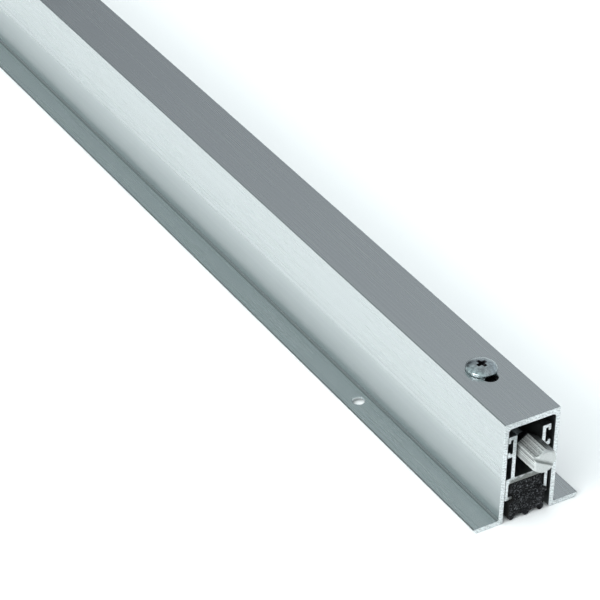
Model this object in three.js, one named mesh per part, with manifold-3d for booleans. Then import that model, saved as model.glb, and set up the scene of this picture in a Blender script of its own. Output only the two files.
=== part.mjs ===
// A flanged automatic door bottom: a spring-lifted seal that drops out of an aluminium case
// when the plunger at the hinge end is pushed in by the door frame.
//
// Units are millimetres. X runs along the case with the plunger end at +X, Y runs across it and
// Z is up. The origin is under the middle of the whole part, on the plane of the flanges' underside.
// Places along the length are written as a distance `s` from the plunger end of the case.

import * as THREE from "three";
import { mergeVertices } from "three/addons/utils/BufferGeometryUtils.js";
import Module from "manifold-3d";

const wasm = await Module();
wasm.setup();

// ---------- driving dimensions ----------

const INCH = 25.4;
const GAP = 0.3; // left between pieces that touch
const ROUND = 20; // sides of a small round piece

const CASE_LENGTH = 36 * INCH;
const CASE_WIDTH = (7 / 8) * INCH;
const CASE_HEIGHT = (13 / 8) * INCH;
const FLANGE_SPAN = (27 / 16) * INCH;
const FLANGE_THICK = 1.9;
const WALL_THICK = 1.75;
const ROOF_THICK = 2.3;

const PLUNGER_OUT = 8.5; // how far the plunger stands out of the case
const ROD_Z = 27.9; // height of the plunger's and the rod's axis

const CASE_END_X = (CASE_LENGTH + PLUNGER_OUT) / 2 - PLUNGER_OUT; // plunger end of the case
const at = (s) => CASE_END_X - s;

const CHANNEL_HALF = 5.1; // inside of the drop bar's upright channel, from the middle
const BLOCK_WIDTH = 9.4; // every block stands inside that channel
const CEILING_Z = CASE_HEIGHT - ROOF_THICK;
const BLOCK_TOP_Z = CEILING_Z - GAP;

const FLOOR_TOP_Z = 17.3; // floor of the drop bar's channel
const FLOOR_BOTTOM_Z = 15.1;

const ROD = { radius: 2.5, from: -4.8, to: 590 };
const GUIDE = { from: 26, to: 42, bottom: 23.2, screwAt: 30.5 };
const SLOT = { from: 22.8, to: 36, width: 5 };

const LEAF = { width: 9, thick: 0.6, endZ: 22, run: 50, centreFlat: 5, blockLength: 12 };
const SADDLE_THICK = 0.5;
const LEAF_CENTRE_Z = FLOOR_TOP_Z + GAP + SADDLE_THICK + GAP; // underside of the leaf's middle
const BLOCK_OFFSET = LEAF.centreFlat + LEAF.run + LEAF.blockLength / 2;
const SPRINGS = { front: 290, rear: 640 }; // where each leaf is riveted to the drop bar

const FLANGE_HOLES = { radius: 2.2, sinkRadius: 3.9, first: 81.2, count: 3, fromMiddle: 15.75 };

// ---------- solids ----------

// A closed geometry as a manifold solid, for cutting and joining.
function solid(geometry) {
  const plain = geometry.clone();
  plain.deleteAttribute("normal");
  plain.deleteAttribute("uv");
  const merged = mergeVertices(plain, 1e-4);
  return new wasm.Manifold(
    new wasm.Mesh({
      numProp: 3,
      vertProperties: new Float32Array(merged.attributes.position.array),
      triVerts: new Uint32Array(merged.index.array),
    }),
  );
}

// A manifold solid as a geometry that three.js draws.
function geometryOf(manifold) {
  const made = manifold.getMesh();
  const geometry = new THREE.BufferGeometry();
  geometry.setAttribute("position", new THREE.BufferAttribute(made.vertProperties, 3));
  geometry.setIndex(new THREE.BufferAttribute(made.triVerts, 1));
  geometry.computeVertexNormals();
  return geometry;
}

const cut = (body, ...tools) => tools.reduce((left, tool) => left.subtract(tool), body);
const join = (...bodies) => bodies.reduce((left, body) => left.add(body));

// A box between two corners.
function box([x0, y0, z0], [x1, y1, z1]) {
  const geometry = new THREE.BoxGeometry(x1 - x0, y1 - y0, z1 - z0);
  return solid(geometry.translate((x0 + x1) / 2, (y0 + y1) / 2, (z0 + z1) / 2));
}

// A (Y, Z) outline drawn out along X from s = from to s = to.
function alongCase(shape, from, to) {
  const geometry = new THREE.ExtrudeGeometry(shape, {
    depth: to - from,
    bevelEnabled: false,
    curveSegments: 5,
  });
  const turned = new THREE.Matrix4().makeBasis(
    new THREE.Vector3(0, 1, 0),
    new THREE.Vector3(0, 0, 1),
    new THREE.Vector3(1, 0, 0),
  );
  return solid(geometry.applyMatrix4(turned).translate(at(to), 0, 0));
}

// A turned piece: `profile` lists [radius, height] from the axis at the bottom to the axis at the top.
function turned(profile, sides = ROUND) {
  const points = profile.map(([r, h]) => new THREE.Vector2(r, h));
  return new THREE.LatheGeometry(points, sides).rotateX(Math.PI / 2);
}

// The same, standing upright with its heights measured from z at distance s, y.
const upright = (profile, s, y = 0, z = 0, sides = ROUND) =>
  solid(turned(profile, sides).translate(at(s), y, z));

// The same, lying on the rod's axis, with its heights as distances s counted inwards.
const onRod = (profile, sides = ROUND) =>
  solid(turned(profile, sides).rotateY(-Math.PI / 2).translate(CASE_END_X, 0, ROD_Z));

// A plain cylinder's profile.
const rodProfile = (radius, low, high) => [
  [0, low],
  [radius, low],
  [radius, high],
  [0, high],
];

// The outline of one half (y > 0), bottom to top, closed with its mirror image.
function mirrored(half) {
  const left = half.filter(([y]) => y > 0).map(([y, z]) => [-y, z]);
  return new THREE.Shape([...half, ...left.reverse()].map(([y, z]) => new THREE.Vector2(y, z)));
}

// ---------- the group and its meshes ----------

const root = new THREE.Group();
root.name = "automatic_door_bottom";

const FINISH = {
  aluminium: { color: 0xc9cfd0, roughness: 0.38, metalness: 1 },
  barAluminium: { color: 0xb9c0c1, roughness: 0.42, metalness: 1 },
  zincSteel: { color: 0xa9b6bd, roughness: 0.3, metalness: 1 },
  plungerMetal: { color: 0xb7bdba, roughness: 0.35, metalness: 1 },
  springSteel: { color: 0x6f7276, roughness: 0.4, metalness: 1 },
  castZinc: { color: 0x9a9fa2, roughness: 0.5, metalness: 1 },
  nylon: { color: 0xd8d5c8, roughness: 0.5, metalness: 0 },
  neoprene: { color: 0x161718, roughness: 0.95, metalness: 0 },
};

function add(name, manifold, finish) {
  const mesh = new THREE.Mesh(geometryOf(manifold), new THREE.MeshStandardMaterial(FINISH[finish]));
  mesh.name = name;
  root.add(mesh);
}

// ---------- case ----------

// The hat-shaped section: a box open below, with a flange on each side.
function caseSection() {
  const outer = CASE_WIDTH / 2;
  const inner = outer - WALL_THICK;
  const tip = FLANGE_SPAN / 2;
  const tipBevel = 1.4;
  const cornerRadius = 0.35;
  const filletRadius = 1.2;
  const mouthRadius = 0.8;
  const down = -Math.PI / 2;
  const up = Math.PI / 2;
  const shape = new THREE.Shape();
  shape.moveTo(tip - tipBevel, 0);
  shape.lineTo(tip, FLANGE_THICK);
  shape.lineTo(outer, FLANGE_THICK);
  shape.absarc(outer - cornerRadius, CASE_HEIGHT - cornerRadius, cornerRadius, 0, up, false);
  shape.absarc(cornerRadius - outer, CASE_HEIGHT - cornerRadius, cornerRadius, up, Math.PI, false);
  shape.lineTo(-outer, FLANGE_THICK);
  shape.lineTo(-tip, FLANGE_THICK);
  shape.lineTo(tipBevel - tip, 0);
  shape.absarc(-inner - mouthRadius, mouthRadius, mouthRadius, down, 0, false);
  shape.absarc(filletRadius - inner, CEILING_Z - filletRadius, filletRadius, Math.PI, up, true);
  shape.absarc(inner - filletRadius, CEILING_Z - filletRadius, filletRadius, up, 0, true);
  shape.absarc(inner + mouthRadius, mouthRadius, mouthRadius, Math.PI, Math.PI * 1.5, false);
  return shape;
}

// A flange screw hole, countersunk from below for a flat-head screw into the door's edge.
function flangeHole(s, y) {
  const { radius, sinkRadius } = FLANGE_HOLES;
  const topBreak = 0.3; // the hole's mouth in the upper face is broken by this much
  const straight = 0.5;
  return upright(
    [
      [0, -1],
      [sinkRadius, -1],
      [sinkRadius, 0],
      [radius, FLANGE_THICK - straight - topBreak],
      [radius, FLANGE_THICK - topBreak],
      [radius + topBreak, FLANGE_THICK],
      [radius + topBreak, FLANGE_THICK + 1],
      [0, FLANGE_THICK + 1],
    ],
    s,
    y,
  );
}

// The slot in the roof that the guide screw stands in, with round ends.
function roofSlot() {
  const radius = SLOT.width / 2;
  const from = at(SLOT.to) + radius;
  const to = at(SLOT.from) - radius;
  const shape = new THREE.Shape();
  shape.absarc(to, 0, radius, -Math.PI / 2, Math.PI / 2, false);
  shape.absarc(from, 0, radius, Math.PI / 2, Math.PI * 1.5, false);
  const geometry = new THREE.ExtrudeGeometry(shape, {
    depth: ROOF_THICK + 2,
    bevelEnabled: false,
    curveSegments: 12,
  });
  return solid(geometry.translate(0, 0, CEILING_Z - 1));
}

function makeCase() {
  const blank = alongCase(caseSection(), 0, CASE_LENGTH);
  const pitch = (CASE_LENGTH - 2 * FLANGE_HOLES.first) / (FLANGE_HOLES.count - 1);
  const tools = [roofSlot()];
  for (let i = 0; i < FLANGE_HOLES.count; i++) {
    for (const side of [-1, 1]) {
      tools.push(flangeHole(FLANGE_HOLES.first + i * pitch, side * FLANGE_HOLES.fromMiddle));
    }
  }
  for (const centre of Object.values(SPRINGS)) {
    tools.push(upright(rodProfile(2.4, CEILING_Z - 1, CASE_HEIGHT + 1), centre + BLOCK_OFFSET));
  }
  add("case", cut(blank, ...tools), "aluminium");
}

// ---------- drop bar and seal ----------

const BAR = {
  recess: 1,
  webOuter: 6.5,
  guideOuter: 8.5,
  lipInner: 7.5,
  legInner: 7.3,
  legOuter: 8.5,
  footInner: 5.6,
};

// An open channel with an outward C-shaped guide on each side and two feet that hold the seal.
function barSection() {
  const { webOuter, guideOuter, lipInner, legInner, legOuter, footInner } = BAR;
  return mirrored([
    [0, FLOOR_BOTTOM_Z],
    [legInner, FLOOR_BOTTOM_Z],
    [legInner, 9.6], // leg with its foot turned in
    [footInner, 9.6],
    [footInner, 8.3],
    [legOuter, 8.3],
    [legOuter, FLOOR_TOP_Z],
    [webOuter, FLOOR_TOP_Z],
    [webOuter, 26.2], // lower guide rail, lip turned up
    [guideOuter, 26.2],
    [guideOuter, 28.4],
    [lipInner, 28.4],
    [lipInner, 27.6],
    [webOuter, 27.6],
    [webOuter, 33.4], // upper guide rail, lip turned down
    [lipInner, 33.4],
    [lipInner, 32.1],
    [guideOuter, 32.1],
    [guideOuter, 34.7],
    [CHANNEL_HALF, 34.7],
    [CHANNEL_HALF, FLOOR_TOP_Z],
    [0, FLOOR_TOP_Z],
  ]);
}

function makeDropBar() {
  const blank = alongCase(barSection(), BAR.recess, CASE_LENGTH - BAR.recess);
  const rivetHoles = Object.values(SPRINGS).map((centre) =>
    upright(rodProfile(1.6, FLOOR_BOTTOM_Z - 1, FLOOR_TOP_Z + 1), centre),
  );
  add("drop_bar", cut(blank, ...rivetHoles), "barAluminium");
}

const SEAL = { neckFrom: 8, neckTo: 9.9, neckHalf: 5.2, headHalf: 6.6, bodyHalf: 7.2 };

// The body of the sponge strip, with three round ribs below.
function sealBody() {
  const { bodyHalf, neckFrom } = SEAL;
  const bottom = 0.3;
  const rib = 1.2;
  const ribPitch = 5.9;
  const ribZ = bottom + rib;
  const valleyZ = ribZ + 0.4;
  const shape = new THREE.Shape();
  shape.moveTo(-bodyHalf, neckFrom);
  shape.lineTo(-bodyHalf, ribZ);
  for (const i of [-1, 0, 1]) {
    if (i > -1) shape.lineTo((i - 0.5) * ribPitch, valleyZ);
    shape.absarc(i * ribPitch, ribZ, rib, Math.PI, 2 * Math.PI, false);
  }
  shape.lineTo(bodyHalf, ribZ);
  shape.lineTo(bodyHalf, neckFrom);
  return shape;
}

// Its head, held behind the bar's feet, and the neck between them.
function sealHead() {
  const { neckFrom, neckTo, neckHalf, headHalf } = SEAL;
  const top = FLOOR_BOTTOM_Z - GAP;
  return mirrored([
    [neckHalf, neckFrom - 0.5],
    [neckHalf, neckTo],
    [headHalf, neckTo],
    [headHalf, top],
  ]);
}

// The strip, flush with the case below and with the bar above, and with a pocket in the top of its
// head under each saddle rivet.
function makeSeal() {
  const body = alongCase(sealBody(), 0, CASE_LENGTH);
  const head = alongCase(sealHead(), BAR.recess, CASE_LENGTH - BAR.recess);
  const pockets = Object.values(SPRINGS).map((centre) =>
    upright(rodProfile(2.6, FLOOR_BOTTOM_Z - 1.3, FLOOR_BOTTOM_Z), centre),
  );
  add("door_seal", cut(join(body, head), ...pockets), "neoprene");
}

// ---------- plunger and push rod ----------

const TIP = { acrossFlats: 8.5, back: 2.2, faceRadius: 3.9, chamfer: 1.1 };

function hexagon(acrossFlats) {
  const corner = acrossFlats / Math.sqrt(3);
  const points = [];
  for (let i = 0; i < 6; i++) {
    const angle = Math.PI / 2 + (i * Math.PI) / 3; // a corner points up
    points.push(new THREE.Vector2(corner * Math.cos(angle), ROD_Z + corner * Math.sin(angle)));
  }
  return new THREE.Shape(points);
}

// A hexagon bar with a turned, chamfered nose, a screwdriver slot and a tapped hole behind.
function makePlungerTip() {
  const slotWidth = 1.2;
  const slotDepth = 1.3;
  const slotTilt = (150 * Math.PI) / 180;
  const front = -PLUNGER_OUT;
  const corner = TIP.acrossFlats / Math.sqrt(3);
  const bar = alongCase(hexagon(TIP.acrossFlats), front, TIP.back);
  const envelope = onRod(
    [
      [0, front],
      [TIP.faceRadius, front],
      [corner + 0.2, front + TIP.chamfer],
      [corner + 0.2, TIP.back + 1],
      [0, TIP.back + 1],
    ],
    36,
  );
  const slot = new THREE.BoxGeometry(2 * slotDepth, 4 * corner, slotWidth);
  slot.rotateX(slotTilt).translate(at(front), 0, ROD_Z);
  const tapped = onRod(rodProfile(2.8, ROD.from - 1, TIP.back + 1));
  add("plunger_tip", cut(bar.intersect(envelope), solid(slot), tapped), "plungerMetal");
}

function makePushRod() {
  add("push_rod", onRod(rodProfile(ROD.radius, ROD.from, ROD.to), 16), "zincSteel");

  const nutFrom = TIP.back + GAP;
  const nutThick = 3;
  const nut = alongCase(hexagon(7), nutFrom, nutFrom + nutThick);
  const bore = onRod(rodProfile(ROD.radius + GAP, nutFrom - 1, nutFrom + nutThick + 1));
  add("lock_nut", cut(nut, bore), "springSteel");
}

// A set screw with a hexagon socket, standing above the rod.
function setScrew(s, radius, length) {
  const bottom = ROD_Z + ROD.radius + GAP;
  const body = upright(rodProfile(radius, bottom, bottom + length), s);
  const socket = upright(rodProfile(radius * 0.55, bottom + length * 0.6, bottom + length + 1), s, 0, 0, 6);
  return cut(body, socket);
}

// The collar behind the guide that stops the rod from coming out of the case.
function makeStopCollar(from) {
  const length = 6;
  const radius = 4.7;
  const screwRadius = 1.2;
  const ring = onRod(rodProfile(radius, from, from + length));
  const bore = onRod(rodProfile(ROD.radius + GAP, from - 1, from + length + 1));
  const hole = upright(rodProfile(screwRadius + GAP, ROD_Z, ROD_Z + radius + 1), from + length / 2);
  add("stop_collar", cut(ring, bore, hole), "zincSteel");
  add("stop_collar_screw", setScrew(from + length / 2, screwRadius, 1.9), "springSteel");
}

// ---------- blocks and their screws ----------

// A pan-head screw with a cross recess, its head resting on the roof of the case.
function panHeadScrew(s, headRadius, shankRadius, tipZ) {
  const under = CASE_HEIGHT + GAP;
  const rim = 0.8; // height of the head's upright edge
  const crown = 1.5; // height of its dome above that edge
  const profile = [
    [0, tipZ],
    [shankRadius - 0.4, tipZ],
    [shankRadius, tipZ + 0.5],
    [shankRadius, under],
    [headRadius - 0.2, under],
    [headRadius, under + 0.2],
    [headRadius, under + rim],
  ];
  const domeSteps = 4;
  for (let i = 1; i <= domeSteps; i++) {
    const angle = (i / domeSteps) * (Math.PI / 2);
    profile.push([i < domeSteps ? headRadius * Math.cos(angle) : 0, under + rim + crown * Math.sin(angle)]);
  }
  const recessTop = under + rim + crown + 0.2;
  const recessDepth = 2;
  const recessRadius = 2.5;
  const wing = 0.55;
  const cone = upright(
    [
      [0, recessTop - recessDepth],
      [0.7, recessTop - recessDepth],
      [recessRadius, recessTop - 0.4],
      [recessRadius, recessTop + 1],
      [0, recessTop + 1],
    ],
    s,
  );
  const x = at(s);
  const low = recessTop - recessDepth - 1;
  const high = recessTop + 2;
  const cross = join(
    box([x - 3, -wing, low], [x + 3, wing, high]),
    box([x - wing, -3, low], [x + wing, 3, high]),
  );
  const head = upright(profile, s, 0, 0, 32);
  return cut(head, cone.intersect(cross));
}

// The nylon-bushed block that carries the rod just inside the case.
function makeGuide() {
  const { from, to, bottom, screwAt } = GUIDE;
  const half = BLOCK_WIDTH / 2;
  const bushRadius = 3.5;
  const screwRadius = 2.3;
  const screwTip = 33;
  const block = box([at(to), -half, bottom], [at(from), half, BLOCK_TOP_Z]);
  const bore = onRod(rodProfile(bushRadius + GAP, from - 1, to + 1));
  const tapped = upright(rodProfile(screwRadius + GAP, ROD_Z, BLOCK_TOP_Z + 1), screwAt);
  add("guide_block", cut(block, bore, tapped), "castZinc");

  const collar = 1;
  const bush = onRod([
    [0, from],
    [bushRadius, from],
    [bushRadius, to + GAP],
    [bushRadius + 0.9, to + GAP],
    [bushRadius + 0.9, to + GAP + collar],
    [0, to + GAP + collar],
  ]);
  add("guide_bush", cut(bush, onRod(rodProfile(ROD.radius + GAP, from - 1, to + 3))), "nylon");
  add("guide_screw", panHeadScrew(screwAt, 5.5, screwRadius, screwTip), "zincSteel");
  makeStopCollar(to + GAP + collar + GAP);
}

// A block over one end of a leaf, bored for the rod and drilled from below for the leaf's rivet.
function springBlock(s, rodBore) {
  const half = BLOCK_WIDTH / 2;
  const length = LEAF.blockLength;
  const bottom = LEAF.endZ + LEAF.thick + GAP;
  const block = box([at(s + length / 2), -half, bottom], [at(s - length / 2), half, BLOCK_TOP_Z]);
  const bore = onRod(rodProfile(rodBore, s - length, s + length));
  const rivetHole = upright(rodProfile(1.5, bottom - 1, bottom + 1.8), s);
  return cut(block, bore, rivetHole);
}

// A rivet under one end of a leaf.
function endRivet(s) {
  const headTop = LEAF.endZ - GAP;
  return upright(
    [
      [0, headTop - 0.8],
      [1.6, headTop - 0.8],
      [2.2, headTop - 0.4],
      [2.2, headTop],
      [1.2, headTop],
      [1.2, headTop + 2.8],
      [0, headTop + 2.8],
    ],
    s,
  );
}

// ---------- leaf springs ----------

const smoothstep = (t) => t * t * (3 - 2 * t);

// Height of the underside of a leaf at a distance d from its middle.
function leafHeight(d) {
  const t = (Math.abs(d) - LEAF.centreFlat) / LEAF.run;
  const rise = smoothstep(Math.min(Math.max(t, 0), 1));
  return LEAF_CENTRE_Z + (LEAF.endZ - LEAF_CENTRE_Z) * rise;
}

// A bowed strip with a flat at its middle and at each end, drilled for its three rivets.
function leafSpring(centre) {
  const stepsPerSide = 10;
  const end = BLOCK_OFFSET + LEAF.blockLength / 2;
  const places = [-end];
  for (let i = stepsPerSide; i >= 0; i--) places.push(-LEAF.centreFlat - (LEAF.run * i) / stepsPerSide);
  const all = [...places, ...places.map((d) => -d).reverse()];
  const under = all.map((d) => new THREE.Vector2(at(centre) + d, leafHeight(d)));
  const over = all.map((d) => new THREE.Vector2(at(centre) + d, leafHeight(d) + LEAF.thick)).reverse();
  const strip = new THREE.ExtrudeGeometry(new THREE.Shape([...under, ...over]), {
    depth: LEAF.width,
    bevelEnabled: false,
  });
  strip.rotateX(Math.PI / 2).translate(0, LEAF.width / 2, 0);
  const holes = [-BLOCK_OFFSET, 0, BLOCK_OFFSET].map((d) =>
    upright(rodProfile(1.5, LEAF_CENTRE_Z - 1, LEAF.endZ + 2), centre + d),
  );
  return cut(solid(strip), ...holes);
}

// The plate between a leaf's middle and the drop bar, and the rivet through all three.
function makeSaddle(side, centre) {
  const low = FLOOR_TOP_Z + GAP;
  const high = low + SADDLE_THICK;
  const half = BLOCK_WIDTH / 2 - 0.2;
  const plate = box([at(centre + LEAF.centreFlat), -half, low], [at(centre - LEAF.centreFlat), half, high]);
  const hole = upright(rodProfile(1.5, low - 1, high + 1), centre);
  add(`spring_saddle_${side}`, cut(plate, hole), "springSteel");

  const headFrom = LEAF_CENTRE_Z + LEAF.thick + GAP;
  const footTop = FLOOR_BOTTOM_Z - GAP;
  const rivet = upright(
    [
      [0, footTop - 0.7],
      [1.8, footTop - 0.7],
      [2.2, footTop - 0.3],
      [2.2, footTop],
      [1.2, footTop],
      [1.2, headFrom],
      [2.2, headFrom],
      [2.2, headFrom + 0.3],
      [1.5, headFrom + 0.8],
      [0, headFrom + 0.8],
    ],
    centre,
  );
  add(`saddle_rivet_${side}`, rivet, "zincSteel");
}

// One leaf spring: its moving end on the rod's slider, its middle on the bar, its far end anchored.
function makeSpring(side, centre) {
  const slider = centre - BLOCK_OFFSET;
  const anchor = centre + BLOCK_OFFSET;
  const grub = 1.8;
  add(`leaf_spring_${side}`, leafSpring(centre), "springSteel");
  makeSaddle(side, centre);

  const grubHole = upright(rodProfile(grub + GAP, ROD_Z, BLOCK_TOP_Z + 1), slider);
  add(`slider_block_${side}`, cut(springBlock(slider, ROD.radius + GAP), grubHole), "castZinc");
  add(`slider_screw_${side}`, setScrew(slider, grub, 5), "springSteel");
  add(`slider_rivet_${side}`, endRivet(slider), "zincSteel");

  const anchorShank = 2.1;
  const shankTip = 33;
  const anchorHole = upright(rodProfile(anchorShank + GAP, ROD_Z, BLOCK_TOP_Z + 1), anchor);
  add(`anchor_block_${side}`, cut(springBlock(anchor, ROD.radius + 0.5), anchorHole), "castZinc");
  add(`anchor_screw_${side}`, panHeadScrew(anchor, 4.9, anchorShank, shankTip), "zincSteel");
  add(`anchor_rivet_${side}`, endRivet(anchor), "zincSteel");
}

// ---------- assembly ----------

makeCase();
makeDropBar();
makeSeal();
makePlungerTip();
makePushRod();
makeGuide();
for (const [side, centre] of Object.entries(SPRINGS)) makeSpring(side, centre);

export default root;
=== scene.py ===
"""Looks of a flanged automatic door bottom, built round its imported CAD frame.

Lengths are in millimetres until a mesh is made, where they become metres. X runs along the case
with the plunger end at +X, Y runs across it and Z is up, as in the CAD frame.
"""

import math

import bmesh
import bpy
from mathutils import Matrix, Vector, geometry, noise


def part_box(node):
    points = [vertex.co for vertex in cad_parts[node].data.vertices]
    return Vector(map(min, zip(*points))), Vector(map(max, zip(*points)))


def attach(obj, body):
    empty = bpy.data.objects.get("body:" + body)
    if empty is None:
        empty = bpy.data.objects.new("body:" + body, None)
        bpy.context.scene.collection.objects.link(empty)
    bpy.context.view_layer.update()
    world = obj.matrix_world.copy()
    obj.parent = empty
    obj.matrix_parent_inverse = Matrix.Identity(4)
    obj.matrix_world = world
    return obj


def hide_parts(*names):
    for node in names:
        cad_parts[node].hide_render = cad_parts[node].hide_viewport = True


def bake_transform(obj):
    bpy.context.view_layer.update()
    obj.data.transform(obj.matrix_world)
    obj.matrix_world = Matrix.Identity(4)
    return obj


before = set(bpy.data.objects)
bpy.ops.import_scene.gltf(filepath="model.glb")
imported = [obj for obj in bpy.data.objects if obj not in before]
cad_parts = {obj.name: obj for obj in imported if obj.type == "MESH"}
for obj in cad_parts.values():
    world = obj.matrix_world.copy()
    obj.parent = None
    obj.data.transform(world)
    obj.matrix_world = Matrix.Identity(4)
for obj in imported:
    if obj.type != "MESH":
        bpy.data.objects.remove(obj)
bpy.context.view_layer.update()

MM = 0.001


# ---------- places from the frame ----------


def box_mm(node):
    """The lowest and highest corner of a CAD node, in millimetres."""
    low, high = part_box(node)
    return low / MM, high / MM


def centre_mm(node):
    low, high = box_mm(node)
    return (low + high) / 2


CASE_LOW, CASE_HIGH = box_mm("case")
BAR_LOW, BAR_HIGH = box_mm("drop_bar")
ROD_Z = centre_mm("push_rod").z
CASE_HALF = 11.11  # outside of the upright walls, from the middle
WALL = 1.75
FLANGE = 1.9
ROOF = 2.3
CEILING = CASE_HIGH.z - ROOF
FLOOR_TOP = 17.3  # floor of the drop bar's channel
FLOOR_BOTTOM = 15.1
BODY_TOP = 7.95  # top of the sponge's body, under the feet of the bar
NECK = 9.9  # underside of the sponge's head, on the feet of the bar
ROOF_SLOT = (22.6, 36, 5.8)  # from and to, behind the plunger end, and width
ANCHOR_HOLE = 2.4  # radius
FLANGE_HOLE = 2.2  # radius
FLANGE_SINK = 3.9  # radius of its countersink, at the underside
FLANGE_HOLE_AT = (81.2, 15.75)  # behind the end, and from the middle
FLANGE_HOLE_COUNT = 3
LEAF = 0.6  # thickness of the springs
SIDES = ("front", "rear")  # the two springs and all that goes with them


# ---------- meshes ----------


def in_scene(name, data):
    """An object that holds the data, linked to the scene."""
    thing = bpy.data.objects.new(name, data)
    bpy.context.scene.collection.objects.link(thing)
    return thing


def new_object(name, points, faces):
    """A mesh object from points in millimetres."""
    mesh = bpy.data.meshes.new(name)
    mesh.from_pydata([Vector(p) * MM for p in points], [], faces)
    mesh.validate()
    return in_scene(name, mesh)


def rounded(corners, default=0.2, steps=4):
    """A closed outline whose corners, (y, z) or (y, z, radius), are replaced by arcs."""
    count = len(corners)
    outline = []
    for i, corner in enumerate(corners):
        here = Vector(corner[:2])
        before = Vector(corners[i - 1][:2]) - here
        after = Vector(corners[(i + 1) % count][:2]) - here
        radius = corner[2] if len(corner) > 2 else default
        angle = before.angle(after)
        reach = min(radius / math.tan(angle / 2), 0.45 * before.length, 0.45 * after.length)
        if radius == 0 or angle > math.radians(176):
            outline.append(here)
            continue
        radius = reach * math.tan(angle / 2)
        back, forth = before.normalized(), after.normalized()
        start, end = here + back * reach, here + forth * reach
        middle = here + (back + forth).normalized() * (radius / math.sin(angle / 2))
        for k in range(steps + 1):
            spoke = (start - middle).lerp(end - middle, k / steps).normalized() * radius
            outline.append(middle + spoke)
    return outline


def mirrored(half):
    """A half outline (y >= 0, bottom to top) closed with its mirror image."""
    left = [(-c[0], *c[1:]) for c in half if c[0] > 0]
    return list(half) + left[::-1]


def inset(outline, amount):
    """The outline moved inwards by a small amount. Outlines run anticlockwise."""
    moved = []
    for i, here in enumerate(outline):
        before = (here - outline[i - 1]).normalized()
        after = (outline[(i + 1) % len(outline)] - here).normalized()
        normal = Vector((-(before.y + after.y), before.x + after.x))
        scale = max(normal.length_squared / 2, 0.5)
        moved.append(here + normal * (amount / scale))
    return moved


def quads(count, rings):
    """The faces between neighbouring rings of points, each of them count points long."""
    faces = []
    for r in range(rings - 1):
        a, b = r * count, (r + 1) * count
        for i in range(count):
            j = (i + 1) % count
            faces.append((a + i, a + j, b + j, b + i))
    return faces


def end_caps(count, rings):
    """The faces that close the first and the last ring."""
    last = (rings - 1) * count
    return [tuple(reversed(range(count))), tuple(range(last, last + count))]


def extrusion(name, outline, x_low, x_high, edge_break=0.12, caps=True):
    """The outline drawn along X, with its end edges slightly broken."""
    small = inset(outline, edge_break)
    rings = [(x_low, small), (x_low + edge_break, outline)]
    rings += [(x_high - edge_break, outline), (x_high, small)]
    points = [(x, p.x, p.y) for x, ring in rings for p in ring]
    faces = quads(len(outline), len(rings))
    if caps:
        faces += end_caps(len(outline), len(rings))
    return new_object(name, points, faces)


def turned(name, profile, sides, matrix, thread=None):
    """A turned piece. The profile lists (radius, height) pairs from the axis to the axis, or closes
    on itself for a ring. A thread is (from, to, pitch, depth) on the outside, cut as a helix."""
    begin, finish, pitch, cut = thread or (0, 0, 1, 0)
    stations = []
    closed = profile[0][0] > 0
    pairs = list(zip(profile, profile[1:] + profile[:1] if closed else profile[1:]))
    for (r0, h0), (r1, h1) in pairs:
        stations.append((r0, h0))
        if not thread or r0 != r1:
            continue
        if min(h0, h1) <= begin + 1e-6 and max(h0, h1) >= finish - 1e-6:
            steps = int((finish - begin) / pitch * 6)
            run = [begin + (finish - begin) * k / steps for k in range(steps + 1)]
            stations += [(r0, h) for h in (run if h1 > h0 else run[::-1])]
    if not closed:
        stations.append(profile[-1])
    points, rings = [], []
    for radius, height in stations:
        ring = []
        for k in range(sides if radius else 1):
            angle = 2 * math.pi * k / sides
            r = radius
            if radius and begin < height < finish:
                phase = (height / pitch + k / sides) % 1
                fade = min(1, (height - begin) / pitch, (finish - height) / pitch)
                r -= cut * abs(2 * phase - 1) * fade
            ring.append(len(points))
            points.append(matrix @ Vector((r * math.cos(angle), r * math.sin(angle), height)))
        rings.append(ring)
    faces = []
    joins = list(zip(rings, rings[1:] + rings[:1] if closed else rings[1:]))
    for low, high in joins:
        for k in range(sides):
            m = (k + 1) % sides
            a, b = len(low), len(high)
            corners = (low[k % a], low[m % a], high[m % b], high[k % b])
            face = tuple(dict.fromkeys(corners))
            if len(face) > 2:
                faces.append(face)
    return outward(new_object(name, points, faces))


def outward(thing):
    """Turns every face outwards."""
    work = bmesh.new()
    work.from_mesh(thing.data)
    bmesh.ops.remove_doubles(work, verts=work.verts, dist=1e-7)
    bmesh.ops.recalc_face_normals(work, faces=work.faces)
    work.to_mesh(thing.data)
    work.free()
    return thing


def standing(x, y=0.0, z=0.0):
    """The place of a turned piece that stands upright."""
    return Matrix.Translation((x, y, z))


def lying(x=0.0):
    """The place of a turned piece on the rod's axis, its heights running along +X."""
    return Matrix.Translation((x, 0, ROD_Z)) @ Matrix.Rotation(math.pi / 2, 4, "Y")


def block(name, low, high, chamfer=0.35):
    """A milled block with broken edges."""
    work = bmesh.new()
    place = Matrix.Translation((low + high) / 2) @ Matrix.Diagonal((*(high - low), 1))
    bmesh.ops.create_cube(work, size=1, matrix=place)
    bmesh.ops.bevel(
        work,
        geom=work.edges[:],
        offset=chamfer,
        offset_type="OFFSET",
        segments=2,
        profile=0.6,
        affect="EDGES",
    )
    bmesh.ops.scale(work, vec=(MM, MM, MM), verts=work.verts)
    mesh = bpy.data.meshes.new(name)
    work.to_mesh(mesh)
    work.free()
    return in_scene(name, mesh)


def bore(radius, low, high, matrix, mouth=0.25, sides=40):
    """A cutter for a round hole from low to high along its axis, with a chamfer at each mouth."""
    profile = [
        (0, low - 1),
        (radius + mouth + 1, low - 1),
        (radius, low + mouth),
        (radius, high - mouth),
        (radius + mouth + 1, high + 1),
        (0, high + 1),
    ]
    return turned("cutter", profile, sides, matrix)


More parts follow.
